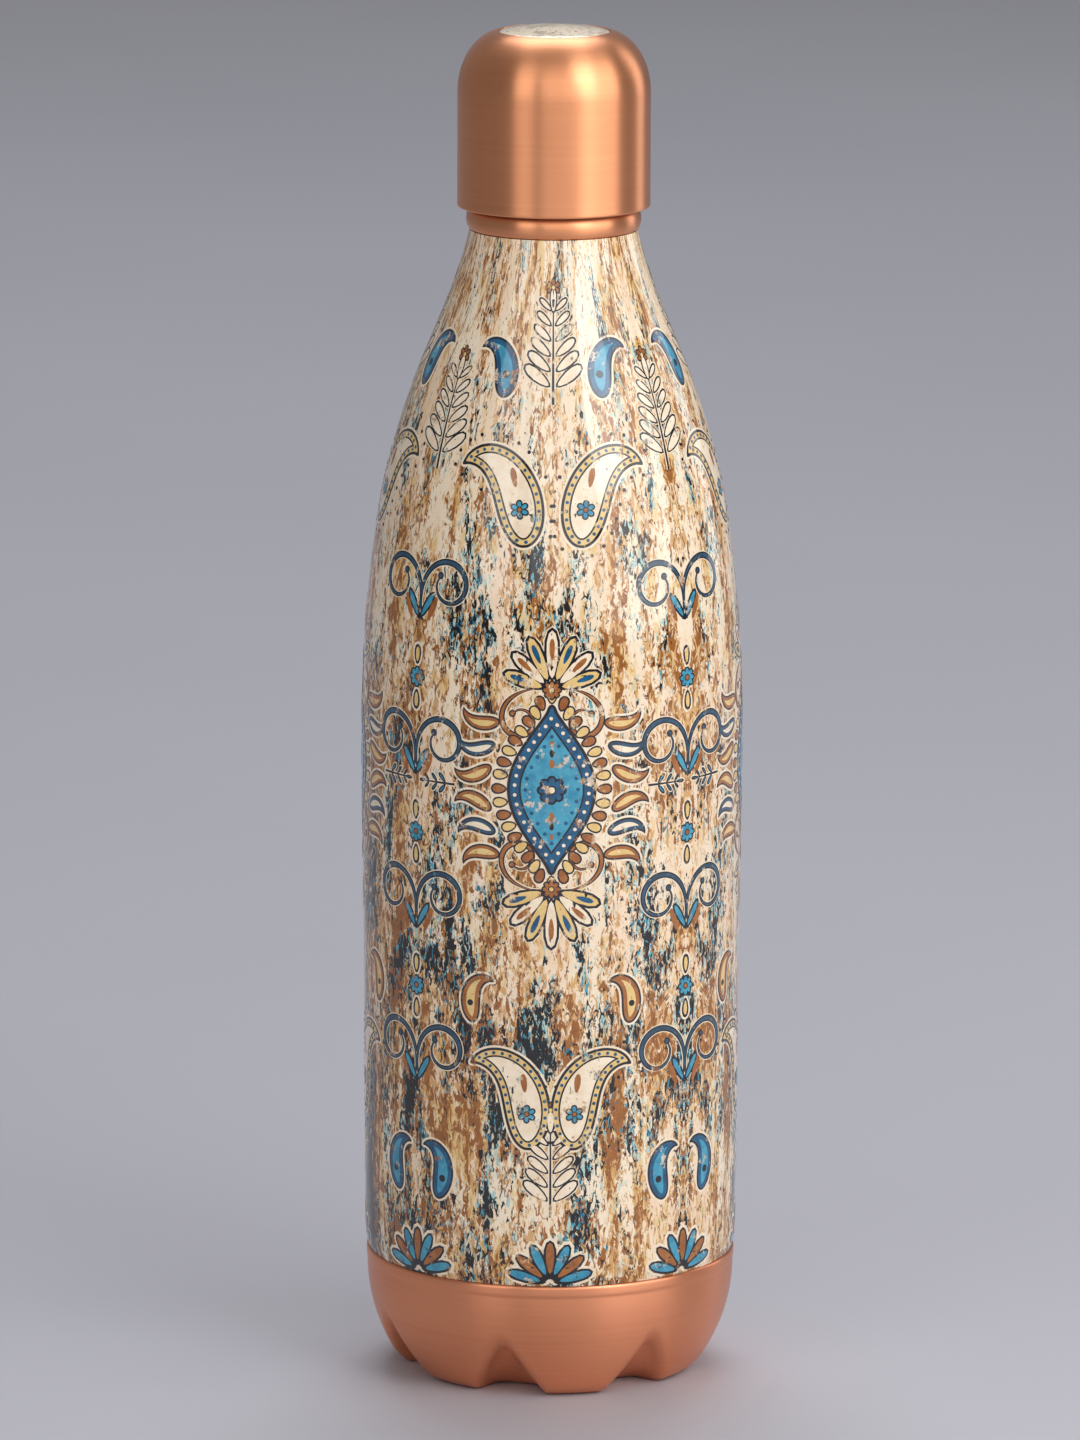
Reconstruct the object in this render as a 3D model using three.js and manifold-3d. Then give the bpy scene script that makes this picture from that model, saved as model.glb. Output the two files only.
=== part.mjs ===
// A one litre copper water bottle with a printed body, a seven-footed base and a screw cap.
//
// Millimetres, +Z up. The origin is the middle of the base, on the plane that the feet stand on,
// and +Z is the bottle's axis. An angle of 0 faces -Y, the front, and grows towards +X.

import * as THREE from "three";
import { mergeVertices } from "three/addons/utils/BufferGeometryUtils.js";
import Module from "manifold-3d";

const wasm = await Module();
wasm.setup();

// ---------------------------------------------------------------- driving dimensions

const HEIGHT = 279.2; // the feet to the top of the cap
const BODY_RADIUS = 39; // the widest part of the printed body
const GAP = 0.3; // between pieces that touch

const SHEET = 0.7; // copper sheet of the body and the cap
const WRAP = 0.25; // the printed film round the body
const WRAP_GAP = 0.1;

const WRAP_BOTTOM = 25.3; // the lower edge of the print
const WRAP_FOOT_RADIUS = 37.75; // where the print turns in to meet the base
const WRAP_FOOT_HEIGHT = 5; // how far up that turn reaches
const WRAP_TAPER_RADIUS = 38.36; // just above the turn
const SHOULDER_BOTTOM = 132.8; // the body is straight below this
const SHOULDER_FULLNESS = 69.9; // how far up the shoulder's curve stays full
const SHOULDER_WAIST_RADIUS = 23.7; // the curve's last handle, which draws in the neck
const SHOULDER_WAIST_DROP = 28.6; // how far that handle is below the top of the print
const WRAP_TOP = 237.6;
const WRAP_TOP_RADIUS = 17.2;

const NECK_RADIUS = 15.2; // outside of the neck tube
const NECK_BORE = 14.5;
const LIP_TOP = 257.4;
const LIP_RADIUS = 16.1; // outside of the curled drinking lip
const LIP_ROUND = 0.5; // how far the lip's corners are rounded
const NECK_BORE_BOTTOM = WRAP_TOP - 1.2; // where the bore opens into the shoulder

const COLLAR_BOTTOM = WRAP_TOP + GAP;
const COLLAR_TOP = 242;
const COLLAR_RADIUS = 17.75;
const COLLAR_TOP_RADIUS = 16.95;
const COLLAR_BULGE = 0.25; // how far the curve's handles stand out past that radius
const COLLAR_HANDLE = 0.8; // how far they are from the collar's ends

const THREAD_PITCH = 4;
const THREAD_TURNS = 2.2;
const THREAD_START = 2; // above the lower end of the sleeve
const NECK_RIDGE_ROOT = 2.2; // widths of the neck's thread ridge
const NECK_RIDGE_CREST = 1;
const CAP_RIDGE_ROOT = 1.9; // and of the cap's
const CAP_RIDGE_CREST = 0.9;
const SLEEVE_BOTTOM = COLLAR_TOP + GAP;
const SLEEVE_TOP = 255.6;
const SLEEVE_RADIUS = 16.2; // the root of the neck's thread
const THREAD_DEPTH = 1;

const CAP_BOTTOM = COLLAR_TOP + GAP;
const CAP_RADIUS = 19.65;
const CAP_SHOULDER = 265.6; // where the cap starts to round over
const CAP_FLAT_RADIUS = 10.5; // where that round ends
const CAP_ROUND_TOP = 278.1;
const CAP_HEM_RADIUS = 18; // inside of the hem turned in under the cap's edge
const CAP_HEM_THICKNESS = 0.6;
const CAP_EDGE_ROUND = 0.4;
const CAP_EDGE_FLARE = 0.05; // how far the edge stands out past the side
const CAP_EDGE_HEIGHT = 1.1; // how far up that flare reaches
const DISC_RADIUS = 11.2; // the printed disc on top of the cap
const DISC_RECESS = 0.6;
const DISC_THICKNESS = 0.4;

const LINER_RADIUS = 18.6;
const LINER_BORE = 17.65; // the root of the cap's thread
const LINER_BOTTOM = 243.2;
const LINER_TOP = 261.3;
const LINER_FLOOR = 259.9; // the underside of its top plate
const POST_RADIUS = 13; // the hollow post that holds the dome up
const POST_WALL = 1.4;
const POST_TAPER = 1; // how much slimmer the post is at its top

const GASKET_BOTTOM = LIP_TOP + GAP;
const GASKET_TOP = 259.6;
const GASKET_RADIUS = 17.1;
const GASKET_BORE = 12;
const SEAL_DISC_RADIUS = 11.7;
const SEAL_DISC_BOTTOM = 258.4;
const SEAL_DISC_BEVEL = 0.4;

const BASE_RIM = 25; // the top of the base that shows
const BASE_RADIUS = 37.95;
const BASE_RIM_ROUND = 0.35;
const BASE_STRAIGHT = 22; // the wall rounds in below this height
const BASE_ROUND = 36; // radius of that round
const BASE_WALL = 0.8;
const SPIGOT_RADIUS = 36.4; // the ring that is brazed inside the body
const SPIGOT_TOP = 33;
const FEET = 7;
const FOOT_TURN = 10; // degrees from the front to the first foot
const FOOT_HALF_ANGLE = 10.5; // degrees, the flat of a foot
const FOOT_INNER_RADIUS = 20;
const FOOT_EDGE = 3.2; // how far a foot's outer edge is rounded
const GROOVE_HEIGHT = 12; // the top of the groove between two feet
const GROOVE_EASE_IN = 0.15; // the shares of its side that curve, beside the foot
const GROOVE_EASE_OUT = 0.2; // and at the top
const BASE_RISE = 4.5; // how far the middle of the base is pushed up

const BODY_SIDES = 36;
const CAP_SIDES = 40;
const SHOULDER_STEPS = 10;
const CAP_ROUND_STEPS = 7; // outside of the cap's round
const CAP_INSIDE_STEPS = 5;
const THREAD_STEPS = 36; // a turn

// ---------------------------------------------------------------- materials

const copper = (roughness) =>
  new THREE.MeshStandardMaterial({ color: 0xc8794f, metalness: 1, roughness });
const brushedCopper = copper(0.35);
const polishedCopper = copper(0.2);
const print = new THREE.MeshStandardMaterial({ color: 0xe9d3b4, metalness: 0, roughness: 0.25 });
const linerPlastic = new THREE.MeshStandardMaterial({
  color: 0xe6e3dc,
  metalness: 0,
  roughness: 0.5,
});
const silicone = new THREE.MeshStandardMaterial({ color: 0xf1efe9, metalness: 0, roughness: 0.7 });

// ---------------------------------------------------------------- geometry helpers

const point = (radius, height) => new THREE.Vector2(radius, height);

// A closed outline of (radius, height) points, turned round +Z. The outline runs anticlockwise
// as it is seen with the radius to the right and the height up.
function turned(outline, sides) {
  const closed = outline[0].x === 0 ? outline : [...outline, outline[0]];
  return new THREE.LatheGeometry(closed, sides).rotateX(Math.PI / 2);
}

// A solid of manifold-3d from a closed geometry, and back.
function toSolid(geometry) {
  const bare = geometry.clone();
  bare.deleteAttribute("normal");
  bare.deleteAttribute("uv");
  const merged = mergeVertices(bare, 1e-4);
  return new wasm.Manifold(
    new wasm.Mesh({
      numProp: 3,
      vertProperties: new Float32Array(merged.attributes.position.array),
      triVerts: new Uint32Array(merged.index.array),
    }),
  );
}

function toGeometry(solid) {
  const mesh = solid.getMesh();
  return new THREE.BufferGeometry()
    .setAttribute("position", new THREE.BufferAttribute(mesh.vertProperties, 3))
    .setIndex(new THREE.BufferAttribute(mesh.triVerts, 1));
}

// A right-handed thread ridge. It is a straight bar with a trapezium section, wound round +Z.
// outward is 1 for a ridge on a shaft and -1 for one in a bore.
function threadRidge(rootRadius, startHeight, outward, rootWidth, crestWidth) {
  const embedded = -GAP;
  const fadeTurns = 0.12;
  const bluntTurns = 0.02; // so that the ridge's ends keep some depth
  const section = new THREE.Shape([
    point(-rootWidth / 2, embedded),
    point(rootWidth / 2, embedded),
    point(crestWidth / 2, THREAD_DEPTH),
    point(-crestWidth / 2, THREAD_DEPTH),
  ]);
  const bar = new THREE.ExtrudeGeometry(section, {
    depth: THREAD_TURNS,
    steps: Math.round(THREAD_TURNS * THREAD_STEPS),
    bevelEnabled: false,
  });
  const position = bar.attributes.position;
  for (let i = 0; i < position.count; i++) {
    const turn = position.getZ(i);
    const fromEnd = Math.min(turn, THREAD_TURNS - turn) + bluntTurns;
    const fade = Math.min(1, fromEnd / fadeTurns);
    const depth = position.getY(i) > 0 ? position.getY(i) * fade : position.getY(i);
    const radius = rootRadius + outward * depth;
    const angle = turn * 2 * Math.PI;
    position.setXYZ(
      i,
      radius * Math.cos(angle),
      radius * Math.sin(angle),
      startHeight + outward * position.getX(i) + turn * THREAD_PITCH,
    );
  }
  return bar;
}

function piece(name, geometry, material) {
  const mesh = new THREE.Mesh(geometry, material);
  mesh.name = name;
  return mesh;
}

// ---------------------------------------------------------------- the body

// The printed surface from its lower edge to the collar, moved in by inset.
function bodyOutline(inset) {
  const shoulder = new THREE.CubicBezierCurve(
    point(BODY_RADIUS, SHOULDER_BOTTOM),
    point(BODY_RADIUS, SHOULDER_BOTTOM + SHOULDER_FULLNESS),
    point(SHOULDER_WAIST_RADIUS, WRAP_TOP - SHOULDER_WAIST_DROP),
    point(WRAP_TOP_RADIUS, WRAP_TOP),
  );
  const turnIn = new THREE.QuadraticBezierCurve(
    point(WRAP_FOOT_RADIUS, WRAP_BOTTOM),
    point(WRAP_TAPER_RADIUS, WRAP_BOTTOM + WRAP_FOOT_HEIGHT / 2),
    point(WRAP_TAPER_RADIUS, WRAP_BOTTOM + WRAP_FOOT_HEIGHT),
  );
  const line = [...turnIn.getPoints(2), ...shoulder.getPoints(SHOULDER_STEPS)];
  return line.map((p) => point(p.x - inset, p.y));
}

function wrap() {
  return turned([...bodyOutline(0), ...bodyOutline(WRAP).reverse()], BODY_SIDES);
}

// The drawn copper body: its neck tube ends in a lip curled over the threaded sleeve.
function bodyShell() {
  const inset = WRAP + WRAP_GAP;
  const neckInside = bodyOutline(inset + SHEET).filter((p) => p.x > NECK_BORE);
  const outline = [
    ...bodyOutline(inset),
    point(NECK_RADIUS, WRAP_TOP),
    point(NECK_RADIUS, SLEEVE_TOP + GAP),
    point(LIP_RADIUS - LIP_ROUND, SLEEVE_TOP + GAP),
    point(LIP_RADIUS, SLEEVE_TOP + GAP + LIP_ROUND),
    point(LIP_RADIUS, LIP_TOP - LIP_ROUND),
    point(LIP_RADIUS - LIP_ROUND, LIP_TOP),
    point(NECK_BORE + LIP_ROUND, LIP_TOP),
    point(NECK_BORE, LIP_TOP - LIP_ROUND),
    point(NECK_BORE, NECK_BORE_BOTTOM),
    ...neckInside.slice(0, -1).reverse(),
  ];
  return turned(outline, BODY_SIDES);
}

function collar() {
  const bore = NECK_RADIUS + GAP;
  const bulge = new THREE.CubicBezierCurve(
    point(WRAP_TOP_RADIUS, COLLAR_BOTTOM),
    point(COLLAR_RADIUS + COLLAR_BULGE, COLLAR_BOTTOM + COLLAR_HANDLE),
    point(COLLAR_RADIUS + COLLAR_BULGE, COLLAR_TOP - COLLAR_HANDLE),
    point(COLLAR_TOP_RADIUS, COLLAR_TOP),
  );
  return turned(
    [...bulge.getPoints(5), point(bore, COLLAR_TOP), point(bore, COLLAR_BOTTOM)],
    BODY_SIDES,
  );
}

function threadedSleeve() {
  const bore = NECK_RADIUS + GAP;
  const ring = turned(
    [
      point(SLEEVE_RADIUS, SLEEVE_BOTTOM),
      point(SLEEVE_RADIUS, SLEEVE_TOP),
      point(bore, SLEEVE_TOP),
      point(bore, SLEEVE_BOTTOM),
    ],
    CAP_SIDES,
  );
  const start = SLEEVE_BOTTOM + THREAD_START;
  const ridge = threadRidge(SLEEVE_RADIUS, start, 1, NECK_RIDGE_ROOT, NECK_RIDGE_CREST);
  return toGeometry(toSolid(ring).add(toSolid(ridge)));
}

// ---------------------------------------------------------------- the base

const wallRadius = (height) => {
  const below = Math.max(0, BASE_STRAIGHT - height);
  return BASE_RADIUS - BASE_ROUND + Math.sqrt(BASE_ROUND ** 2 - below ** 2);
};

// The height of the wall's lower edge: 0 on a foot, and GROOVE_HEIGHT half way to the next one.
function edgeHeight(degreesFromFoot) {
  const halfPitch = 180 / FEET;
  const x = (degreesFromFoot - FOOT_HALF_ANGLE) / (halfPitch - FOOT_HALF_ANGLE);
  if (x <= 0) return 0;
  const rise = 1 - (GROOVE_EASE_IN + GROOVE_EASE_OUT) / 2;
  if (x < GROOVE_EASE_IN) return (GROOVE_HEIGHT * x * x) / (2 * GROOVE_EASE_IN) / rise;
  if (x < 1 - GROOVE_EASE_OUT) return (GROOVE_HEIGHT * (x - GROOVE_EASE_IN / 2)) / rise;
  return GROOVE_HEIGHT * (1 - (1 - x) ** 2 / (2 * GROOVE_EASE_OUT) / rise);
}

// The underside at a radius, where edge is the height of the wall's lower edge.
function undersideHeight(radius, edge) {
  const reach = wallRadius(edge) - FOOT_INNER_RADIUS;
  const u = THREE.MathUtils.clamp((radius - FOOT_INNER_RADIUS) / reach, 0, 1);
  const middle = Math.max(0, 1 - (radius / FOOT_INNER_RADIUS) ** 2);
  return edge * u * u * (3 - 2 * u) + BASE_RISE * middle * middle;
}

// The outside of the base from its middle to the top of the spigot, at one angle from a foot.
function baseLine(degreesFromFoot) {
  const edge = edgeHeight(degreesFromFoot);
  const outer = wallRadius(edge) - FOOT_EDGE;
  const undersideRadii = [0, 0.45, FOOT_INNER_RADIUS / outer, 0.9, 1].map((s) => s * outer);
  const line = undersideRadii.map((r) => point(r, undersideHeight(r, edge)));
  const low = point(outer, undersideHeight(outer, edge));
  const high = point(wallRadius(edge + FOOT_EDGE), edge + FOOT_EDGE);
  const corner = new THREE.QuadraticBezierCurve(low, point(wallRadius(edge), edge), high);
  line.push(...corner.getPoints(2).slice(1));
  for (const share of [0.5, 1]) {
    const height = THREE.MathUtils.lerp(edge + FOOT_EDGE, BASE_STRAIGHT, share);
    line.push(point(wallRadius(height), height));
  }
  line.push(point(BASE_RADIUS - BASE_RIM_ROUND, BASE_RIM), point(SPIGOT_RADIUS, BASE_RIM));
  line.push(point(SPIGOT_RADIUS, SPIGOT_TOP));
  return line;
}

// The pressed base: its outside is a grid of columns round the axis, and its inside the same
// grid moved in along the normals.
function base() {
  const halfPitch = 180 / FEET;
  const groove = [0, 1 / 3, 2 / 3, 1].map((t) => THREE.MathUtils.lerp(FOOT_HALF_ANGLE, halfPitch, t));
  const inPetal = [0, ...groove];
  const degrees = [...inPetal.slice(1).reverse().map((d) => -d), ...inPetal.slice(0, -1)];
  const columns = [];
  for (let foot = 0; foot < FEET; foot++) {
    for (const d of degrees) {
      const angle = THREE.MathUtils.degToRad(FOOT_TURN + (foot * 360) / FEET + d);
      columns.push({ angle, line: baseLine(Math.abs(d)) });
    }
  }
  const rows = columns[0].line.length;
  const outside = new THREE.BufferGeometry();
  const vertices = columns.flatMap(({ angle, line }) =>
    line.flatMap((p) => [p.x * Math.sin(angle), -p.x * Math.cos(angle), p.y]),
  );
  const faces = (offset, flipped) => {
    const list = [];
    columns.forEach((_, c) => {
      const next = (c + 1) % columns.length;
      for (let r = 0; r < rows - 1; r++) {
        const [a, b] = [offset + c * rows + r, offset + next * rows + r];
        const quad = [a, b, b + 1, a, b + 1, a + 1];
        list.push(...(flipped ? quad.reverse() : quad));
      }
    });
    return list;
  };
  outside.setAttribute("position", new THREE.Float32BufferAttribute(vertices, 3));
  outside.setIndex(faces(0, false));
  outside.computeVertexNormals();
  const normal = outside.attributes.normal;
  const inner = vertices.map((v, i) => v - BASE_WALL * normal.array[i]);
  columns.forEach(({ angle }, c) => {
    const middle = 3 * c * rows;
    inner.splice(middle, 3, 0, 0, BASE_RISE + BASE_WALL);
    const top = 3 * (c * rows + rows - 1);
    const radius = SPIGOT_RADIUS - BASE_WALL;
    inner.splice(top, 3, radius * Math.sin(angle), -radius * Math.cos(angle), SPIGOT_TOP);
  });
  const count = columns.length * rows;
  const rim = columns.flatMap((_, c) => {
    const a = c * rows + rows - 1;
    const b = ((c + 1) % columns.length) * rows + rows - 1;
    return [a, b, b + count, a, b + count, a + count];
  });
  const all = new Float32Array([...vertices, ...inner]);
  return new THREE.BufferGeometry()
    .setAttribute("position", new THREE.BufferAttribute(all, 3))
    .setIndex([...faces(0, false), ...faces(count, true), ...rim]);
}

// ---------------------------------------------------------------- the cap

// The height of the cap's shallow crown at a radius.
const crownHeight = (radius) => HEIGHT - (HEIGHT - CAP_ROUND_TOP) * (radius / CAP_FLAT_RADIUS) ** 2;

// The quarter ellipse from the cap's side to its crown, moved in by inset.
function capRound(inset, steps) {
  const line = [];
  for (let i = 0; i <= steps; i++) {
    const t = (i / steps) * (Math.PI / 2);
    const radius = CAP_FLAT_RADIUS + (CAP_RADIUS - CAP_FLAT_RADIUS - inset) * Math.cos(t);
    const height = CAP_SHOULDER + (CAP_ROUND_TOP - CAP_SHOULDER - inset) * Math.sin(t);
    line.push(point(radius, height));
  }
  return line;
}

function capShell() {
  const seat = DISC_RADIUS + GAP;
  const hemTop = CAP_BOTTOM + CAP_HEM_THICKNESS;
  const outside = capRound(0, CAP_ROUND_STEPS).filter((p) => p.x > seat);
  const inside = capRound(SHEET, CAP_INSIDE_STEPS);
  const outline = [
    point(0, crownHeight(0) - DISC_RECESS - SHEET),
    ...inside.reverse(),
    point(CAP_RADIUS - SHEET, hemTop),
    point(CAP_HEM_RADIUS, hemTop),
    point(CAP_HEM_RADIUS, CAP_BOTTOM),
    point(CAP_RADIUS - CAP_EDGE_ROUND, CAP_BOTTOM),
    point(CAP_RADIUS + CAP_EDGE_FLARE, CAP_BOTTOM + CAP_EDGE_ROUND),
    point(CAP_RADIUS, CAP_BOTTOM + CAP_EDGE_HEIGHT),
    ...outside,
    point(seat, crownHeight(CAP_FLAT_RADIUS)),
    point(seat, crownHeight(seat) - DISC_RECESS),
    point(0, crownHeight(0) - DISC_RECESS),
  ];
  return turned(outline, CAP_SIDES);
}

function topDisc() {
  const radii = [0, 0.5, 1].map((s) => s * DISC_RADIUS);
  const outline = [
    ...radii.map((r) => point(r, crownHeight(r) - DISC_THICKNESS)),
    ...radii.reverse().map((r) => point(r, crownHeight(r))),
  ];
  return turned(outline, CAP_SIDES);
}

// The moulded liner: a threaded cup that grips the neck, with a hollow post up to the dome.
function liner() {
  const postTop = CAP_ROUND_TOP - SHEET - 2 * GAP;
  const cup = turned(
    [
      point(0, LINER_FLOOR),
      point(LINER_BORE, LINER_FLOOR),
      point(LINER_BORE, LINER_BOTTOM),
      point(LINER_RADIUS, LINER_BOTTOM),
      point(LINER_RADIUS, LINER_TOP),
      point(POST_RADIUS, LINER_TOP),
      point(POST_RADIUS - POST_TAPER, postTop),
      point(POST_RADIUS - POST_TAPER - POST_WALL, postTop),
      point(POST_RADIUS - POST_WALL, LINER_TOP),
      point(0, LINER_TOP),
    ],
    CAP_SIDES,
  );
  const start = SLEEVE_BOTTOM + THREAD_START + THREAD_PITCH / 2;
  const ridge = threadRidge(LINER_BORE, start, -1, CAP_RIDGE_ROOT, CAP_RIDGE_CREST);
  return toGeometry(toSolid(cup).add(toSolid(ridge)));
}

function sealDisc() {
  const top = LINER_FLOOR - GAP;
  return turned(
    [
      point(0, SEAL_DISC_BOTTOM),
      point(SEAL_DISC_RADIUS - SEAL_DISC_BEVEL, SEAL_DISC_BOTTOM),
      point(SEAL_DISC_RADIUS, SEAL_DISC_BOTTOM + SEAL_DISC_BEVEL),
      point(SEAL_DISC_RADIUS, top),
      point(0, top),
    ],
    CAP_SIDES,
  );
}

function gasket() {
  return turned(
    [
      point(GASKET_BORE, GASKET_BOTTOM),
      point(GASKET_RADIUS, GASKET_BOTTOM),
      point(GASKET_RADIUS, GASKET_TOP),
      point(GASKET_BORE, GASKET_TOP),
    ],
    CAP_SIDES,
  );
}

// ---------------------------------------------------------------- assembly

const vessel = new THREE.Group();
vessel.add(
  piece("body_shell", bodyShell(), polishedCopper),
  piece("printed_wrap", wrap(), print),
  piece("base_cup", base(), brushedCopper),
  piece("neck_collar", collar(), brushedCopper),
  piece("threaded_sleeve", threadedSleeve(), polishedCopper),
);

const cap = new THREE.Group();
cap.add(
  piece("cap_shell", capShell(), brushedCopper),
  piece("cap_top_disc", topDisc(), print),
  piece("cap_liner", liner(), linerPlastic),
  piece("cap_seal_disc", sealDisc(), polishedCopper),
  piece("cap_gasket", gasket(), silicone),
);

const bottle = new THREE.Group();
bottle.add(vessel, cap);

export default bottle;
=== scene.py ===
"""The looks of a copper water bottle with a printed body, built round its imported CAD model.

Blender 4.5. Shapes are worked out in millimetres in the model's own frame and made in metres.
An angle round the bottle is 0 at the front, -Y, and grows towards +X.
"""

import math

import bmesh
import bpy
import numpy as np
from mathutils import Matrix, Vector, geometry


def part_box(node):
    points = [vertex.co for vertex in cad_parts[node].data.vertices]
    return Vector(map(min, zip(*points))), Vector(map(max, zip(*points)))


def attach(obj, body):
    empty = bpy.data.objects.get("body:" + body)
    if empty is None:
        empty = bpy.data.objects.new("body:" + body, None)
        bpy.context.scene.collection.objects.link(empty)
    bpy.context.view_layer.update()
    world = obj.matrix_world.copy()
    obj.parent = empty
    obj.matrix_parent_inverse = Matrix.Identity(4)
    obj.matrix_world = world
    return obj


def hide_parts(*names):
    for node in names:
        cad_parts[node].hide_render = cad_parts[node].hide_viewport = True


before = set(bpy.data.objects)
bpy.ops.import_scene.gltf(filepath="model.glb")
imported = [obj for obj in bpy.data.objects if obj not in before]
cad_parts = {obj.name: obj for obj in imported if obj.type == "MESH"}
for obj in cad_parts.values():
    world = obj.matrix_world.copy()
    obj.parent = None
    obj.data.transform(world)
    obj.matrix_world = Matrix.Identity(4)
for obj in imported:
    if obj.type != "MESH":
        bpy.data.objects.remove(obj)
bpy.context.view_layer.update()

MM = 0.001
BODY_SIDES = 192  # faces round the printed body
SIDES = 144  # round the other turned pieces
DISC_SIDES = 96  # round the small flat ones


def extent(node):
    """The lowest and highest corners of a CAD node, in millimetres."""
    low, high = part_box(node)
    return low / MM, high / MM


# ---------------------------------------------------------------- sizes, from the frame

wrap_low, wrap_high = extent("printed_wrap")
_, shell_high = extent("body_shell")
base_low, base_high = extent("base_cup")
_, collar_high = extent("neck_collar")
sleeve_low, sleeve_high = extent("threaded_sleeve")
cap_low, _ = extent("cap_shell")
_, disc_high = extent("cap_top_disc")
liner_low, liner_high = extent("cap_liner")
seal_low, seal_high = extent("cap_seal_disc")
gasket_low, gasket_high = extent("cap_gasket")

BODY_RADIUS = wrap_high.x
WRAP_BOTTOM, WRAP_TOP = wrap_low.z, wrap_high.z
WRAP = 0.25
WRAP_GAP = 0.05
SHEET = 0.7
FOOT_RADIUS = BODY_RADIUS - 1.25  # of the print, where it turns in over the base
TAPER_RADIUS = BODY_RADIUS - 0.64  # of the print, just above that turn
TURN_IN = 5  # how high that turn is
NECK_PRINT_RADIUS = 17.2  # of the print, under the collar
SHOULDER_BOTTOM = 132.8
# The shoulder is one curve that leaves the body upright. These place its middle control points.
SHOULDER_PULL = 69.9  # up from the body
NECK_PULL = 28.6  # down from the collar
NECK_PULL_RADIUS = 23.7

NECK_RADIUS = 15.2
NECK_BORE = 14.5
THROAT = 1.2  # where the inside of the shoulder starts to round into the bore
LIP_RADIUS = 16.1
LIP_TOP = shell_high.z
COLLAR_RADIUS = collar_high.x
COLLAR_BOTTOM, COLLAR_TOP = WRAP_TOP + 0.05, collar_high.z

THREAD_PITCH = 4
THREAD_TURNS = 2.2
THREAD_DEPTH = 1
THREAD_FADE = 0.12  # turns in which a ridge runs out at each end
THREAD_STEP = 0.2  # between the rings of points on a threaded wall
THREAD_SHARP = 60  # degrees that a threaded piece's edges turn by before they show as sharp
SLEEVE_RADIUS = sleeve_high.x - THREAD_DEPTH
THREAD_START = sleeve_low.z + 2

CAP_RADIUS = 19.65
CAP_BOTTOM, CAP_TOP = cap_low.z, disc_high.z
CAP_SHOULDER = 265.6
CAP_FLAT_RADIUS = 10.5
CAP_ROUND_TOP = CAP_TOP - 1.1
DISC_RADIUS = disc_high.x
LINER_RADIUS = liner_high.x
LINER_BORE = LINER_RADIUS - 0.95
LINER_FLOOR = seal_high.z + 0.1
GASKET_WIDTH = 5.1

BASE_RIM = WRAP_BOTTOM - 0.06
BASE_RADIUS = -base_low.y
BASE_STRAIGHT = 22
BASE_ROUND = 36
BASE_WALL = 0.8
SPIGOT_RADIUS = 36.4
FEET = 7
FOOT_TURN = 10
FOOT_HALF_ANGLE = 10.5
FOOT_INNER_RADIUS = 20
FOOT_EDGE = 3.2
GROOVE_HEIGHT = 12
BASE_RISE = 4.5
ROLLED_EDGE = 0.18  # how far the base stands out under the print


# ---------------------------------------------------------------- mesh helpers


def add_piece(name, vertices, faces, material, body, replaces, sharp=38):
    """A mesh object in metres from points in millimetres.

    It is shaded smooth, except at edges that turn by more than sharp degrees.
    """
    mesh = bpy.data.meshes.new(name)
    mesh.from_pydata((np.asarray(vertices, float) * MM).tolist(), [], faces)
    made = bmesh.new()
    made.from_mesh(mesh)
    bmesh.ops.recalc_face_normals(made, faces=made.faces)
    for face in made.faces:
        face.smooth = True
    for edge in made.edges:
        edge.smooth = len(edge.link_faces) != 2 or edge.calc_face_angle(0) < math.radians(sharp)
    made.to_mesh(mesh)
    made.free()
    piece = bpy.data.objects.new(name, mesh)
    bpy.context.scene.collection.objects.link(piece)
    mesh.materials.append(material)
    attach(piece, body)
    if replaces:
        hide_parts(*replaces)


def rounded(corners, steps=5):
    """The points of a closed outline from corners of radius, height and perhaps a fillet."""
    outline = []
    for i, corner in enumerate(corners):
        here = np.array(corner[:2], float)
        fillet = corner[2] if len(corner) > 2 else 0
        if not fillet:
            outline.append(here)
            continue
        ends = []
        for other in (corners[i - 1], corners[(i + 1) % len(corners)]):
            along = np.array(other[:2], float) - here
            length = np.linalg.norm(along)
            ends.append(here + along / length * min(fillet, 0.48 * length))
        for t in np.linspace(0, 1, steps + 1):
            outline.append((1 - t) ** 2 * ends[0] + 2 * t * (1 - t) * here + t * t * ends[1])
    return outline


def spun(outline, sides, radius_at=None):
    """The vertices and faces of a closed outline turned round the axis.

    radius_at(i, angle) can change the radius of the outline's point i at an angle.
    """
    vertices, rings = [], []
    angles = [2 * math.pi * k / sides for k in range(sides)]
    for i, (radius, height) in enumerate(outline):
        first = len(vertices)
        if radius < 1e-6:
            vertices.append((0, 0, height))
            rings.append([first] * sides)
            continue
        for angle in angles:
            r = radius_at(i, angle) if radius_at else radius
            vertices.append((r * math.sin(angle), -r * math.cos(angle), height))
        rings.append(list(range(first, first + sides)))
    faces = []
    for i, ring in enumerate(rings):
        above = rings[(i + 1) % len(rings)]
        for k in range(sides):
            n = (k + 1) % sides
            corners = list(dict.fromkeys((ring[k], ring[n], above[n], above[k])))
            if len(corners) > 2:
                faces.append(corners)
    return vertices, faces


def add_turned(node, kind, outline, sides, material, body, slot, sharp=38, radius_at=None):
    """A piece turned round the axis that takes a CAD node's place, named after node and kind."""
    vertices, faces = spun(outline, sides, radius_at)
    add_piece(f"{node}_{kind}", vertices, faces, material, body, [node], sharp)


# ---------------------------------------------------------------- material helpers


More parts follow.
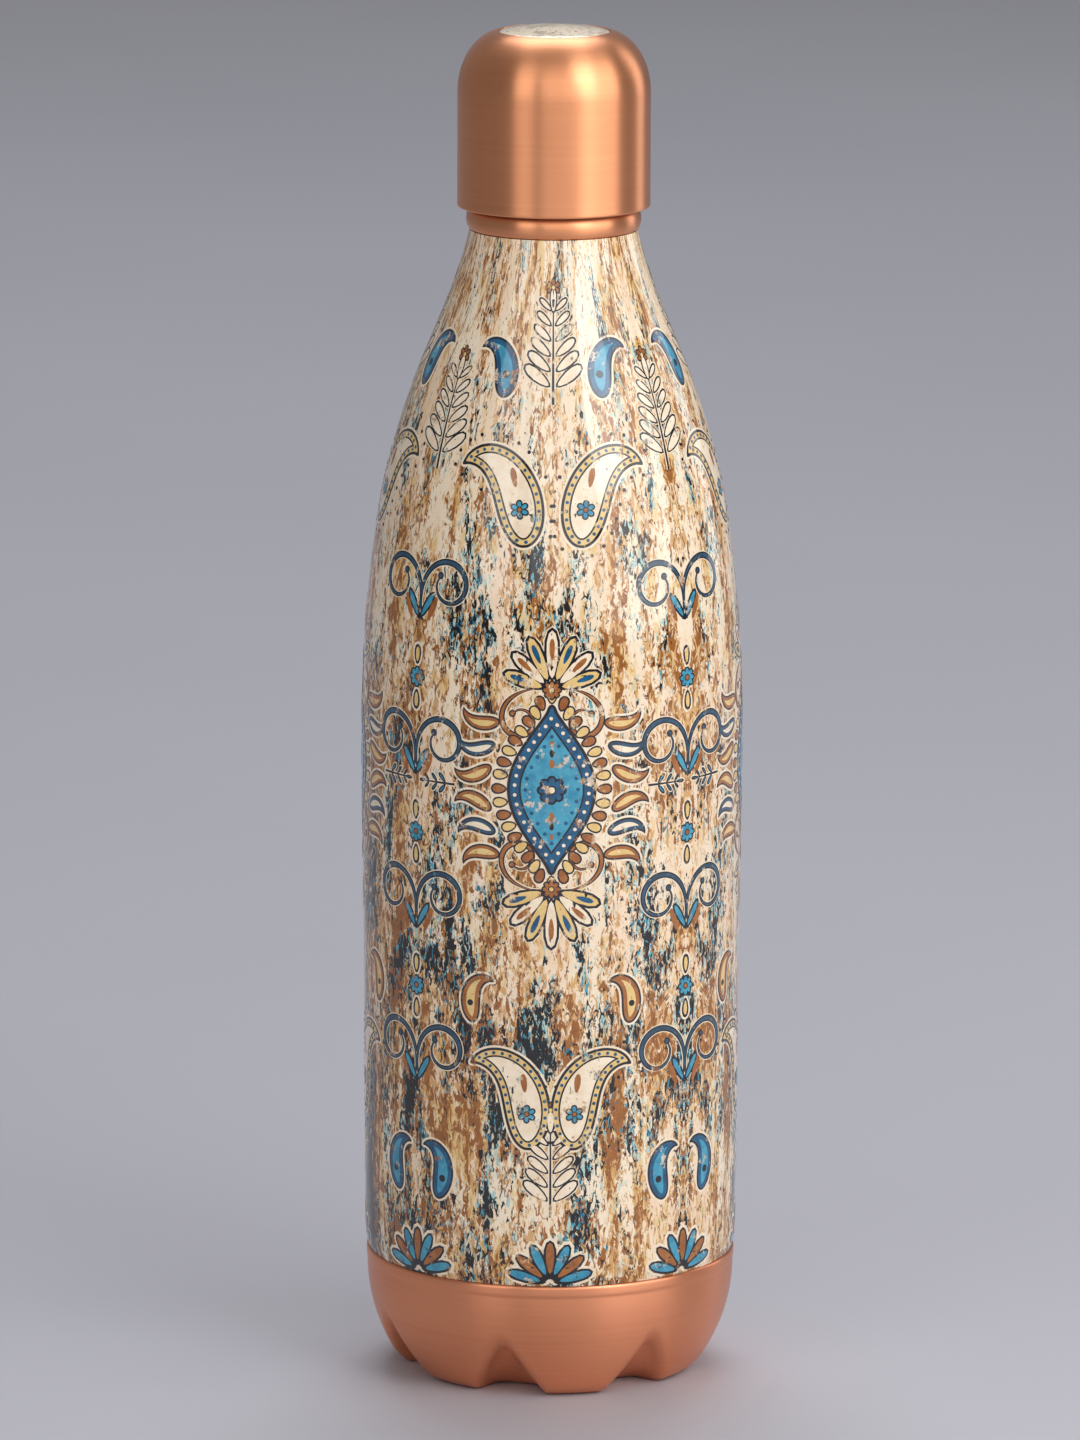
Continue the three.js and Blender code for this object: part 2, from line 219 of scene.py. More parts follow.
class Nodes:
    """A material's node tree, with short calls for the nodes that the materials here use."""

    def __init__(self, name):
        self.material = bpy.data.materials.new(name)
        self.material.use_nodes = True
        self.tree = self.material.node_tree
        self.shader = self.tree.nodes["Principled BSDF"]

    def add(self, kind, **settings):
        node = self.tree.nodes.new(kind)
        for key, value in settings.items():
            setattr(node, key, value)
        return node

    def join(self, value, socket):
        """Links an output to a socket, or sets the socket to a plain value."""
        if isinstance(value, bpy.types.NodeSocket):
            self.tree.links.new(value, socket)
        elif value is not None:
            socket.default_value = value

    def feed(self, node, **values):
        """Joins a node's inputs by name, with _ for a space."""
        for name, value in values.items():
            self.join(value, node.inputs[name.replace("_", " ")])

    def math(self, operation, a, b=None, c=None):
        node = self.add("ShaderNodeMath", operation=operation)
        for value, socket in zip((a, b, c), node.inputs):
            self.join(value, socket)
        return node.outputs[0]

    def times(self, a, b):
        return self.math("MULTIPLY", a, b)

    def place(self):
        """A point's place in metres."""
        return self.add("ShaderNodeTexCoord").outputs["Object"]

    def vector(self, x, y, z):
        node = self.add("ShaderNodeCombineXYZ")
        for value, socket in zip((x, y, z), node.inputs):
            self.join(value, socket)
        return node.outputs[0]

    def noise(self, place, scale, detail, roughness=0.5, distortion=0.0):
        node = self.add("ShaderNodeTexNoise")
        self.feed(node, Vector=place, Scale=scale, Detail=detail)
        self.feed(node, Roughness=roughness, Distortion=distortion)
        return node.outputs["Fac"]

    def steps(self, value, low, high):
        """0 below low, 1 above high and smooth between them."""
        node = self.add("ShaderNodeMapRange", interpolation_type="SMOOTHSTEP")
        self.feed(node, Value=value, From_Min=low, From_Max=high)
        return node.outputs["Result"]

    def mix(self, share, a, b):
        node = self.add("ShaderNodeMix", data_type="RGBA")
        self.join(share, node.inputs[0])
        self.join(a, node.inputs[6])
        self.join(b, node.inputs[7])
        return node.outputs[2]

    def bump(self, height, strength, distance):
        node = self.add("ShaderNodeBump")
        self.feed(node, Strength=strength, Distance=distance, Height=height)
        self.set(Normal=node.outputs["Normal"])

    def set(self, **values):
        self.feed(self.shader, **values)


def colour(red, green, blue):
    """A linear colour from screen values of 0 to 255."""

    def linear(c):
        c /= 255
        return c / 12.92 if c <= 0.04045 else ((c + 0.055) / 1.055) ** 2.4

    return (linear(red), linear(green), linear(blue), 1.0)


def round_place(nodes):
    """Outputs for a point's angle round the bottle in radians and its height in metres."""
    split = nodes.add("ShaderNodeSeparateXYZ")
    nodes.join(nodes.place(), split.inputs[0])
    x, y, z = split.outputs
    return nodes.math("ARCTAN2", x, nodes.times(y, -1.0)), z


# ---------------------------------------------------------------- materials

GRAIN_DEPTH = 0.05 * MM  # of a bump at its full strength


def brushed_copper(name, tint, roughness, grain):
    """Copper brushed round the axis: fine rings in the bump, the roughness and the colour."""
    nodes = Nodes(name)
    place = nodes.place()

    def rings(across, up, detail, rough):
        """Noise whose features are wide and low, so that they lie round the axis."""
        mapping = nodes.add("ShaderNodeMapping")
        nodes.feed(mapping, Vector=place, Scale=(across, across, up))
        return nodes.noise(mapping.outputs[0], 1.0, detail, rough)

    fine, broad = rings(30, 9000, 3, 0.6), rings(14, 2600, 2, 0.5)
    cloud = nodes.noise(place, 38.0, 3, 0.55)
    deep = tuple(c * k for c, k in zip(tint[:3], (0.96, 0.92, 0.89))) + (1.0,)
    share = nodes.math("MULTIPLY_ADD", broad, 0.55, nodes.times(cloud, 0.45))
    nodes.set(Base_Color=nodes.mix(nodes.steps(share, 0.3, 0.62), deep, tint))
    vary = nodes.math("MULTIPLY_ADD", fine, 0.07, roughness - 0.035)
    nodes.set(Metallic=1.0, Roughness=vary, Anisotropic=0.8, Anisotropic_Rotation=0.25)
    tangent = nodes.add("ShaderNodeTangent", direction_type="RADIAL", axis="Z")
    nodes.set(Tangent=tangent.outputs[0])
    nodes.bump(fine, grain, GRAIN_DEPTH)
    return nodes.material


def print_ground(nodes):
    """The distressed colours of the print: vertical flecks on cream, mirrored about one line."""
    angle, height = round_place(nodes)
    turned_back = nodes.math("SUBTRACT", angle, MIRROR_ANGLE)
    folded = nodes.math("PINGPONG", turned_back, math.pi)
    across = nodes.times(folded, BODY_RADIUS)
    up = nodes.times(height, 1 / MM)

    def field(seed, wide, tall, detail=5, rough=0.62, warp=0.4):
        """Noise whose features are about wide by tall millimetres."""
        spot = nodes.vector(nodes.times(across, 1 / wide), nodes.times(up, 1 / tall), seed)
        return nodes.noise(spot, 1.0, detail, rough, warp)

    def flecks(shape, region, low, soft, reach):
        """Where shape is high, more so where region is high."""
        lift = nodes.times(nodes.math("SUBTRACT", region, 0.5), reach)
        return nodes.steps(nodes.math("ADD", shape, lift), low, low + soft)

    # The print is pale under the collar and near the mirror line. It gets denser downwards and
    # away from that line. The thickening away from that line is partly print and partly painted
    # shade: it darkens the left side of the front, which the lamps light least.
    away = nodes.math("MULTIPLY_ADD", nodes.steps(folded, 0.6, 1.9), 0.6, 0.4)
    dense = nodes.times(nodes.times(nodes.steps(up, 210.0, 40.0), 0.13), away)
    column = nodes.math("ADD", field(3.1, 5, 30, 4), dense)
    clusters = nodes.math("ADD", field(41.5, 6, 22, 4), dense)
    result = nodes.mix(nodes.steps(field(1.7, 9, 30, 4), 0.38, 0.62), CREAM, CREAM_PINK)
    ochre = flecks(field(8.3, 2.6, 8, 5, 0.6), column, 0.52, 0.12, 0.5)
    result = nodes.mix(nodes.times(ochre, 0.85), result, OCHRE)
    sky = flecks(field(21.9, 1.2, 3.4, 5), clusters, 0.6, 0.07, 0.9)
    result = nodes.mix(nodes.times(sky, 0.75), result, SKY)
    wash = flecks(field(15.2, 1.0, 2.8, 5, 0.62, 0.7), column, 0.53, 0.05, 0.6)
    result = nodes.mix(nodes.times(wash, 0.8), result, TAN)
    rust = flecks(field(4.6, 1.0, 2.6, 5, 0.62, 0.9), column, 0.565, 0.04, 0.7)
    result = nodes.mix(rust, result, nodes.mix(field(33.0, 1.2, 3, 3), BROWN, RUST))
    teal = flecks(field(27.4, 0.9, 1.9, 4, 0.62, 0.9), clusters, 0.675, 0.04, 0.9)
    either = nodes.steps(field(52.0, 2, 4, 2), 0.4, 0.6)
    result = nodes.mix(teal, result, nodes.mix(either, TEAL, CYAN))
    ink = flecks(field(60.8, 0.8, 2.2, 4, 0.62, 0.9), clusters, 0.622, 0.03, 0.9)
    return nodes.mix(ink, result, INK)


def disc_ground(nodes):
    """The print on the cap: cream with worn grey-brown patches and small coloured specks."""
    place = nodes.place()
    worn = nodes.steps(nodes.noise(place, 260.0, 5, 0.65), 0.48, 0.64)
    result = nodes.mix(nodes.times(worn, 0.75), CREAM, GREIGE)
    specks = ((900.0, 0.64, TEAL), (780.0, 0.635, BROWN), (1050.0, 0.66, INK))
    for scale, low, tint in specks:
        spot = nodes.steps(nodes.noise(place, scale, 3, 0.6), low, low + 0.03)
        result = nodes.mix(spot, result, tint)
    return result


def printed_film(name, painted):
    """A glossy clear coat over the print. painted(nodes) gives its colour."""
    nodes = Nodes(name)
    base = painted(nodes)
    place = nodes.place()
    dull = nodes.math("MULTIPLY_ADD", nodes.noise(place, 600.0, 3), 0.12, 0.38)
    nodes.set(Base_Color=base, Roughness=dull)
    nodes.set(Specular_IOR_Level=0.05, Coat_Weight=1.0, Coat_Roughness=0.08, Coat_IOR=1.65)
    nodes.bump(nodes.noise(place, 900.0, 2), 0.05, GRAIN_DEPTH)
    return nodes.material


def moulded(name, tint, roughness, scatter=0.0):
    """A moulded plastic or silicone with a fine matt grain and faint clouding."""
    nodes = Nodes(name)
    place = nodes.place()
    shade = tuple(c * 0.86 for c in tint[:3]) + (1.0,)
    cloud = nodes.steps(nodes.noise(place, 120.0, 3), 0.35, 0.7)
    grain = nodes.noise(place, 2600.0, 2)
    nodes.set(
        Base_Color=nodes.mix(cloud, tint, shade),
        Roughness=nodes.math("MULTIPLY_ADD", grain, 0.15, roughness - 0.07),
    )
    if scatter:
        nodes.set(Subsurface_Weight=scatter, Subsurface_Scale=0.002)
    nodes.bump(grain, 0.15, GRAIN_DEPTH)
    return nodes.material


CREAM = colour(244, 226, 198)
CREAM_PINK = colour(240, 212, 180)
OCHRE = colour(228, 192, 126)
TAN = colour(204, 148, 76)
BROWN = colour(180, 112, 44)
RUST = colour(116, 68, 24)
SKY = colour(146, 196, 196)
CYAN = colour(76, 164, 182)
TEAL = colour(24, 110, 136)
GREIGE = colour(176, 158, 138)
INK = colour(16, 12, 10)
FLOOR_GREY = colour(172, 170, 177)
FLOOR_PALE = colour(182, 180, 186)

MIRROR_ANGLE = math.radians(45)

copper_cap = brushed_copper("copper_brushed", colour(238, 163, 118), 0.36, 0.04)
copper_base = brushed_copper("copper_satin", colour(240, 160, 120), 0.36, 0.04)
copper_drawn = brushed_copper("copper_drawn", colour(228, 148, 106), 0.24, 0.06)
print_film = printed_film("print_film", print_ground)
disc_film = printed_film("disc_film", disc_ground)
liner_plastic = moulded("liner_plastic", colour(232, 228, 218), 0.45)
silicone = moulded("silicone", colour(240, 238, 232), 0.6, 0.2)


# ---------------------------------------------------------------- the body


def bezier(points, steps):
    """Points along a curve with three or four control points."""
    points = [np.array(p, float) for p in points]
    degree = len(points) - 1
    line = []
    for t in np.linspace(0, 1, steps + 1):
        weights = [math.comb(degree, i) * t**i * (1 - t) ** (degree - i) for i in range(degree + 1)]
        line.append(sum(w * p for w, p in zip(weights, points)))
    return line


def body_line():
    """The printed surface from its lower edge to the collar."""
    foot, above = (FOOT_RADIUS, WRAP_BOTTOM), (TAPER_RADIUS, WRAP_BOTTOM + TURN_IN)
    turn_in = bezier([foot, (TAPER_RADIUS, WRAP_BOTTOM + TURN_IN / 2), above], 10)
    straight = np.linspace(above, (BODY_RADIUS, SHOULDER_BOTTOM), 25)
    shoulder = bezier(
        [
            (BODY_RADIUS, SHOULDER_BOTTOM),
            (BODY_RADIUS, SHOULDER_BOTTOM + SHOULDER_PULL),
            (NECK_PULL_RADIUS, WRAP_TOP - NECK_PULL),
            (NECK_PRINT_RADIUS, WRAP_TOP),
        ],
        60,
    )
    return np.array([*turn_in, *straight[1:], *shoulder[1:]])


BODY_LINE = body_line()


def printed_wrap():
    """The film all round the body, without the ink that is drawn on it."""
    inside = [(r - WRAP, h) for r, h in reversed(BODY_LINE)]
    outline = [*BODY_LINE, *inside]
    add_turned("printed_wrap", "film", outline, BODY_SIDES, print_film, "bottle", "printed_film")


def body_shell():
    """The sheet under the film, and the neck tube that ends in a curled lip."""
    outer = [(r - WRAP - WRAP_GAP, h) for r, h in BODY_LINE[::2]]
    inner = [(r - SHEET, h) for r, h in outer if r - SHEET > NECK_BORE + THROAT]
    neck = rounded(
        [
            (NECK_RADIUS, WRAP_TOP + 0.1),
            (NECK_RADIUS, sleeve_high.z + 0.1, 0.5),
            (LIP_RADIUS, sleeve_high.z + 0.1, 0.7),
            (LIP_RADIUS, LIP_TOP, 0.75),
            (NECK_BORE, LIP_TOP, 0.75),
            (NECK_BORE, WRAP_TOP - 3, 3),
            inner[-1],
        ],
        6,
    )[:-1]
    outline = [*outer, *neck, *inner[::-1]]
    add_turned("body_shell", "copper", outline, SIDES, copper_drawn, "bottle", "copper_polished")


def neck_collar():
    bore = NECK_RADIUS + 0.1
    bulge = bezier(
        [
            (NECK_PRINT_RADIUS + 0.05, COLLAR_BOTTOM + 0.2),
            (COLLAR_RADIUS + 0.25, COLLAR_BOTTOM + 0.9),
            (COLLAR_RADIUS + 0.35, COLLAR_TOP - 0.7),
            (COLLAR_RADIUS - 0.8, COLLAR_TOP),
        ],
        20,
    )
    under = (NECK_PRINT_RADIUS - 0.35, COLLAR_BOTTOM)
    outline = [under, *bulge, (bore, COLLAR_TOP), (bore, COLLAR_BOTTOM)]
    add_turned("neck_collar", "copper", outline, SIDES, copper_cap, "bottle", "copper_brushed")


def thread_reach(height, angle, start, root_width, crest_width):
    """How far a thread ridge stands out at a height and an angle, from 0 to THREAD_DEPTH."""
    from_x = (angle - math.pi / 2) % (2 * math.pi)  # the ridge starts on the +X side
    best, beyond = 0, 0.02
    for turn in range(-1, int(THREAD_TURNS) + 2):
        turns = from_x / (2 * math.pi) + turn
        to_end = min(turns, THREAD_TURNS - turns) + beyond
        if to_end < 0:
            continue
        fade = min(1, to_end / THREAD_FADE)
        off = abs(height - start - turns * THREAD_PITCH)
        flank = (root_width / 2 - off) / (root_width / 2 - crest_width / 2)
        t = min(1, max(0, flank))
        best = max(best, fade * t * t * (3 - 2 * t))
    return best * THREAD_DEPTH


def threaded_sleeve():
    bore = NECK_RADIUS + 0.1
    low, high = COLLAR_TOP + 0.05, sleeve_high.z
    heights = np.arange(low + 0.4, high - 0.3, THREAD_STEP)
    outline = [(bore, high), (bore, low), (SLEEVE_RADIUS - 0.3, low)]
    first = len(outline)
    outline += [(SLEEVE_RADIUS, h) for h in heights] + [(SLEEVE_RADIUS - 0.3, high)]

    def radius_at(i, angle):
        radius, height = outline[i]
        if first <= i < first + len(heights):
            return radius + thread_reach(height, angle, THREAD_START, 2.2, 1.0)
        return radius

    rest = (copper_drawn, "bottle", "copper_polished", THREAD_SHARP, radius_at)
    add_turned("threaded_sleeve", "copper", outline, SIDES, *rest)


# ---------------------------------------------------------------- drawing on the print

BODY_SLOPE = np.gradient(BODY_LINE[:, 0], BODY_LINE[:, 1])
PRINT_LOW, PRINT_HIGH = WRAP_BOTTOM + 0.25, WRAP_TOP - 0.15
SUNK = -0.03  # the underside of the ink, inside the film


def on_body(points, lift):
    """Places on the printed surface, from millimetres across at the full radius and heights."""
    across, height = np.asarray(points, float).T
    slope = np.interp(height, BODY_LINE[:, 1], BODY_SLOPE)
    out = lift / np.hypot(1, slope)
    radius = np.interp(height, BODY_LINE[:, 1], BODY_LINE[:, 0]) + out
    turn = across / BODY_RADIUS
    return np.stack([radius * np.sin(turn), -radius * np.cos(turn), height - out * slope], axis=1)


def heading(degrees):
    """The cosine and sine of a direction."""
    return math.cos(math.radians(degrees)), math.sin(math.radians(degrees))


def moved(points, x, y, turn):
    """Points turned by some degrees, then shifted."""
    c, s = heading(turn)
    across, up = np.asarray(points, float).T
    return np.stack([x + c * across - s * up, y + s * across + c * up], axis=1)


def smooth_line(points, closed=False, sharp=False, step=0.5):
    """Points at most step apart on a curve, or on straight lines, through the given ones."""
    p = np.asarray(points, float)
    ends = (p[-1:], p[:2]) if closed else (2 * p[:1] - p[1:2], 2 * p[-1:] - p[-2:-1])
    p = np.concatenate([ends[0], p, ends[1]])
    line = []
    for a, b, c, d in zip(p, p[1:], p[2:], p[3:]):
        count = max(1, math.ceil(np.linalg.norm(c - b) / step))
        t = np.linspace(0, 1, count, endpoint=False)[:, None]
        if sharp:
            line.append(b + (c - b) * t)
            continue
        line.append(
            b + 0.5 * t * (c - a + t * (2 * a - 5 * b + 4 * c - d + t * (3 * (b - c) + d - a)))
        )
    if not closed:
        line.append(p[-2:-1])
    return np.concatenate(line)


def cut_to_print(outline):
    """The part of a closed outline that is on the print."""
    for limit, way in ((PRINT_LOW, 1), (PRINT_HIGH, -1)):
        kept = []
        for a, b in zip(outline, np.roll(outline, -1, 0)):
            inside_a, inside_b = way * (a[1] - limit) >= 0, way * (b[1] - limit) >= 0
            if inside_a:
                kept.append(a)
            if inside_a != inside_b:
                kept.append(a + (b - a) * (limit - a[1]) / (b[1] - a[1]))
        if len(kept) < 3:
            return None
        outline = np.array(kept)
    return outline


class Ink:
    """One colour of the print's drawing: thin closed slips that lie on the printed surface."""

    def __init__(self, name, material, lift):
        self.name, self.material, self.lift = name, material, lift
        self.vertices, self.faces = [], []

    def slip(self, points, faces, rim, over):
        """Adds a closed slip. rim is the boundary edges of the faces, in their direction."""
        first, count = len(self.vertices), len(points)
        self.vertices.extend(on_body(points, self.lift + over * LAYER_STEP))
        self.vertices.extend(on_body(points, SUNK))
        for face in faces:
            self.faces.append([first + i for i in face])
            self.faces.append([first + count + i for i in reversed(face)])
        for a, b in rim:
            self.faces.append([first + b, first + a, first + count + a, first + count + b])

    def band(self, left, right, over):
        """Fills a stroke between its two edges, with points along its middle."""
        n = len(left)
        faces, rim = [], []
        for i in range(n - 1):
            faces += [[i, n + i, n + i + 1, i + 1], [n + i, 2 * n + i, 2 * n + i + 1, n + i + 1]]
            rim += [(2 * n + i, 2 * n + i + 1), (i + 1, i)]
        rim += [(0, n), (n, 2 * n), (3 * n - 1, 2 * n - 1), (2 * n - 1, n - 1)]
        self.slip(np.concatenate([left, (left + right) / 2, right]), faces, rim, over)

    def area(self, outline, over):
        """Fills a closed outline, with points inside it where it's wide, so that it curves."""
        outline = cut_to_print(outline)
        if outline is None:
            return
        low, high = outline.min(0), outline.max(0)
        inner = [
            (x, y)
            for x in np.arange(low[0] + 0.5, high[0] - 0.4, 1.0)
            for y in np.arange(low[1] + 0.7, high[1] - 0.6, 2.2)
        ]
        points = [Vector(p) for p in (*outline, *inner)]
        count = len(outline)
        edges = [(i, (i + 1) % count) for i in range(count)]
        flat = geometry.delaunay_2d_cdt(points, edges, [], 1, 1e-5)
        triangles = [list(face) for face in flat[2]]
        used = sorted({i for face in triangles for i in face})
        place = {old: new for new, old in enumerate(used)}
        triangles = [[place[i] for i in face] for face in triangles]
        sides = {pair for face in triangles for pair in zip(face, face[1:] + face[:1])}
        rim = [(a, b) for a, b in sides if (b, a) not in sides]
        self.slip(np.array([flat[0][i] for i in used]), triangles, sorted(rim), over)

    def build(self):
        add_piece(
            self.name, self.vertices, self.faces, self.material, "bottle", (), 30
        )


class Pen:
    """Draws a motif in its own millimetres at a place on the print.

    The motif stands at an angle in degrees and a height. Its width is true at the height of
    its middle. With flip at -1 its left and right sides are swapped.
    """

    def __init__(self, angle, height, middle=0, turn=0, flip=1):
        self.settings = (angle, height, middle, turn)
        self.across = math.radians(angle) * BODY_RADIUS
        self.height, self.turn, self.flip = height, turn, flip
        radius = np.interp(height + middle, BODY_LINE[:, 1], BODY_LINE[:, 0])
        self.stretch = BODY_RADIUS / radius

    def sides(self):
        """The pen and its own mirror twin, for a motif with two equal halves."""
        return self, Pen(*self.settings, flip=-self.flip)

    def place(self, points):
        across, up = moved(np.asarray(points, float) * (self.flip, 1), 0, 0, self.turn).T
        return np.stack([self.across + across * self.stretch, self.height + up], axis=1)

    def line(self, ink, points, width, sharp=False, over=0):
        """A stroke. width is one number, or several that are spread evenly along it."""
        middle = smooth_line(points, sharp=sharp)
        along = np.gradient(middle, axis=0)
        along /= np.maximum(np.linalg.norm(along, axis=1, keepdims=True), 1e-9)
        widths = np.atleast_1d(width)
        share = np.linspace(0, 1, len(middle))
        half = np.interp(share, np.linspace(0, 1, len(widths)), widths) / 2
        side = np.stack([-along[:, 1], along[:, 0]], axis=1) * half[:, None]
        left, right = self.place(middle + side), self.place(middle - side)
        heights = np.concatenate([left[:, 1:], right[:, 1:]], axis=1)
        shown = (heights.min(1) > PRINT_LOW) & (heights.max(1) < PRINT_HIGH)
        if shown.all():
            ink.band(left, right, over)
            return
        for run in np.split(np.arange(len(middle)), np.flatnonzero(np.diff(shown)) + 1):
            if shown[run[0]] and len(run) > 1:
                ink.band(left[run], right[run], over)

    def shape(self, ink, points, over=0):
        ink.area(self.place(smooth_line(points, True)), over)

    def drop(self, ink, x, y, length, width, turn=0, over=0):
        """A drop that is slimmer at its start than at its far end, or a dot if it isn't long."""
        spots = []
        for t in np.linspace(0, 2 * math.pi, 12, endpoint=False):
            u = -math.cos(t) * length / 2
            v = math.sin(t) * width / 2 * (1 + 0.45 * u / length if length > 1.3 * width else 1)
            spots.append((u, v))
        ink.area(self.place(moved(spots, x, y, turn)), over)


def printed_ink(name, tint, shade):
    """Uneven ink, worn through to the print's ground in small flecks."""

    def painted(nodes):
        place = nodes.place()
        ink = nodes.mix(nodes.steps(nodes.noise(place, 420.0, 4, 0.6), 0.35, 0.68), tint, shade)
        worn = nodes.steps(nodes.noise(place, 330.0, 5, 0.7), 0.56, 0.63)
        share = nodes.times(worn, 0.7)
        return nodes.mix(share, ink, print_ground(nodes))

    return printed_film(name, painted)


INK_LIFT = 0.02  # of the lowest ink over the film
INK_STEP = 0.0025  # from one ink to the next, so that no two lie in the same surface
LAYER_STEP = 0.02  # from one shape of a motif to the next one on top of it
HALO = 0.45  # how far a pale edge stands out, at both sides of a line or drop together
INK_COLOURS = {
    "cream": (colour(246, 229, 203), colour(238, 215, 184)),
    "ochre": (colour(231, 198, 132), colour(222, 184, 112)),
    "blue": (colour(24, 92, 130), colour(14, 68, 102)),
    "slate": (colour(46, 84, 108), colour(32, 62, 84)),
    "cyan": (colour(70, 158, 184), colour(44, 132, 164)),
    "brown": (colour(170, 106, 50), colour(146, 84, 34)),
    "black": (colour(16, 16, 22), colour(28, 28, 38)),
}
inks = [
    Ink("print_ink_" + name, printed_ink("ink_" + name, *tints), INK_LIFT + order * INK_STEP)
    for order, (name, tints) in enumerate(INK_COLOURS.items())
]
CREAMY, GOLD, BLUE, SLATE, CYANIC, UMBER, BLACK = inks


# ---------------------------------------------------------------- the motifs


def comma(length, width, curl, points=36):
    """The outline of a textbook paisley: a round foot on the origin and a tip that curls over.

    Its spine bends more and more towards the tip, by curl degrees in all.
    """
    t = np.linspace(0, 1, points) ** 1.8
    lean = math.pi / 2 - math.radians(curl) * t**2.4
    step = np.diff(t, prepend=0)[:, None] * length
    spine = np.cumsum(np.stack([np.cos(lean), np.sin(lean)], axis=1) * step, axis=0)
    half = width / 2 * 1.9 * np.sqrt(t) * (1 - t) ** 0.85
    side = np.stack([-np.sin(lean), np.cos(lean)], axis=1) * half[:, None]
    return np.concatenate([(spine + side)[1:-1], spine[-1:], (spine - side)[1:-1][::-1]])


def inset(outline, by):
    """A closed outline moved inwards, or outwards if by is below zero, without its loops."""
    line = smooth_line(outline, True, step=0.4)
    along = np.roll(line, -1, 0) - np.roll(line, 1, 0)
    along /= np.maximum(np.linalg.norm(along, axis=1, keepdims=True), 1e-9)
    ahead = np.roll(line, -1, 0)
    area = np.sum(line[:, 0] * ahead[:, 1] - ahead[:, 0] * line[:, 1])
    inward = np.stack([-along[:, 1], along[:, 0]], axis=1) * math.copysign(1, area)
    shifted = line + inward * by
    clear = [min(np.hypot(*(line - p).T)) >= abs(by) * 0.93 for p in shifted]
    return shifted[clear]


def beads(pen, ink, outline, count, size, over=0):
    """Dots spaced evenly along a closed outline."""
    line = smooth_line(outline, True, step=0.15)
    length = np.concatenate([[0], np.cumsum(np.linalg.norm(np.diff(line, axis=0), axis=1))])
    for want in np.linspace(0, length[-1], count, endpoint=False):
        x, y = line[np.searchsorted(length, want)]
        pen.drop(ink, x, y, size, size, over=over)


def volute(length, curl, points=18):
    """A line that starts upwards and winds into a spiral, by curl degrees in all."""
    t = np.linspace(0, 1, points)
    lean = math.pi / 2 - math.radians(curl) * t**1.7
    return np.cumsum(np.stack([np.cos(lean), np.sin(lean)], axis=1) * length / points, axis=0)


def rosette(pen, x, y, size, ink, heart, count=6, over=0):
    """A round flower with count petals and a dot for a heart."""
    for k in range(count):
        turn = 90 + 360 * k / count
        c, s = heading(turn)
        spot = (x + 0.6 * size * c, y + 0.6 * size * s)
        pen.drop(BLACK, *spot, 1.15 * size, 0.78 * size, turn, over)
        pen.drop(ink, *spot, 0.8 * size, 0.46 * size, turn, over + 1)
    pen.drop(BLACK, x, y, 0.75 * size, 0.75 * size, over=over + 1)
    pen.drop(heart, x, y, 0.5 * size, 0.5 * size, over=over + 2)


def sprig(pen, x, y, length, turn, pairs, ink, fill=None):
    """A stalk with pairs of leaves that get smaller, and one leaf at its tip."""
    c, s = heading(turn)
    tip = (x + c * length, y + s * length)
    pen.line(CREAMY, [(x, y), tip], 0.5 + HALO, sharp=True)
    pen.line(ink, [(x, y), tip], (0.5, 0.25), sharp=True, over=1)
    leaves = [(*tip, 0.26 * length, turn)]
    for k in range(pairs):
        share = (k + 1) / (pairs + 0.8)
        leaf = length * 0.3 * (1.2 - 0.6 * share)
        for side in (-1, 1):
            lean = turn + side * 50
            dx, dy = (0.6 * leaf * part for part in heading(lean))
            leaves.append((x + c * length * share + dx, y + s * length * share + dy, leaf, lean))
    for *spot, leaf, lean in leaves:
        pen.drop(CREAMY, *spot, leaf + HALO, 0.38 * leaf + HALO, lean)
        pen.drop(ink, *spot, leaf, 0.38 * leaf, lean, 1)
        if fill:
            pen.drop(fill, *spot, leaf - 0.9, 0.38 * leaf - 0.7, lean, 2)


def scroll(pen, x, y, length, curl, turn, core):
    """A volute with a coloured core, dark edges and a pale halo."""
    line = moved(volute(length, curl), x, y, turn)
    pen.line(CREAMY, line, (0.8, 1.5, 1.8, 1.4, 0.8))
    pen.line(BLACK, line, (0.3, 1.1, 1.4, 1.0, 0.4), over=1)
    pen.line(core, line, (0.1, 0.5, 0.8, 0.4, 0.1), over=2)
    pen.drop(BLACK, *line[-1], 1.5, 1.5, over=1)
    pen.drop(core, *line[-1], 0.9, 0.9, over=2)


def paisley(pen, length, width, curl, bands, x=0, y=0, turn=0):
    """A paisley in nested bands. Each band is an ink and how far in from the edge it starts."""
    outline = moved(comma(length, width, curl), x, y, turn)
    pen.shape(CREAMY, inset(outline, -HALO))
    pen.shape(BLACK, outline, over=1)
    for over, (ink, depth) in enumerate(bands, 2):
        pen.shape(ink, inset(outline, depth), over=over)
    return outline


def almond(length, width, points=24):
    """The outline of an upright almond with drawn-out points, the lower one on the origin."""
    t = np.linspace(0, 1, points)
    half = width / 2 * np.sin(math.pi * t) ** 1.2
    right, left = np.stack([half, t * length], axis=1), np.stack([-half, t * length], axis=1)
    return np.concatenate([right, left[1:-1][::-1]])


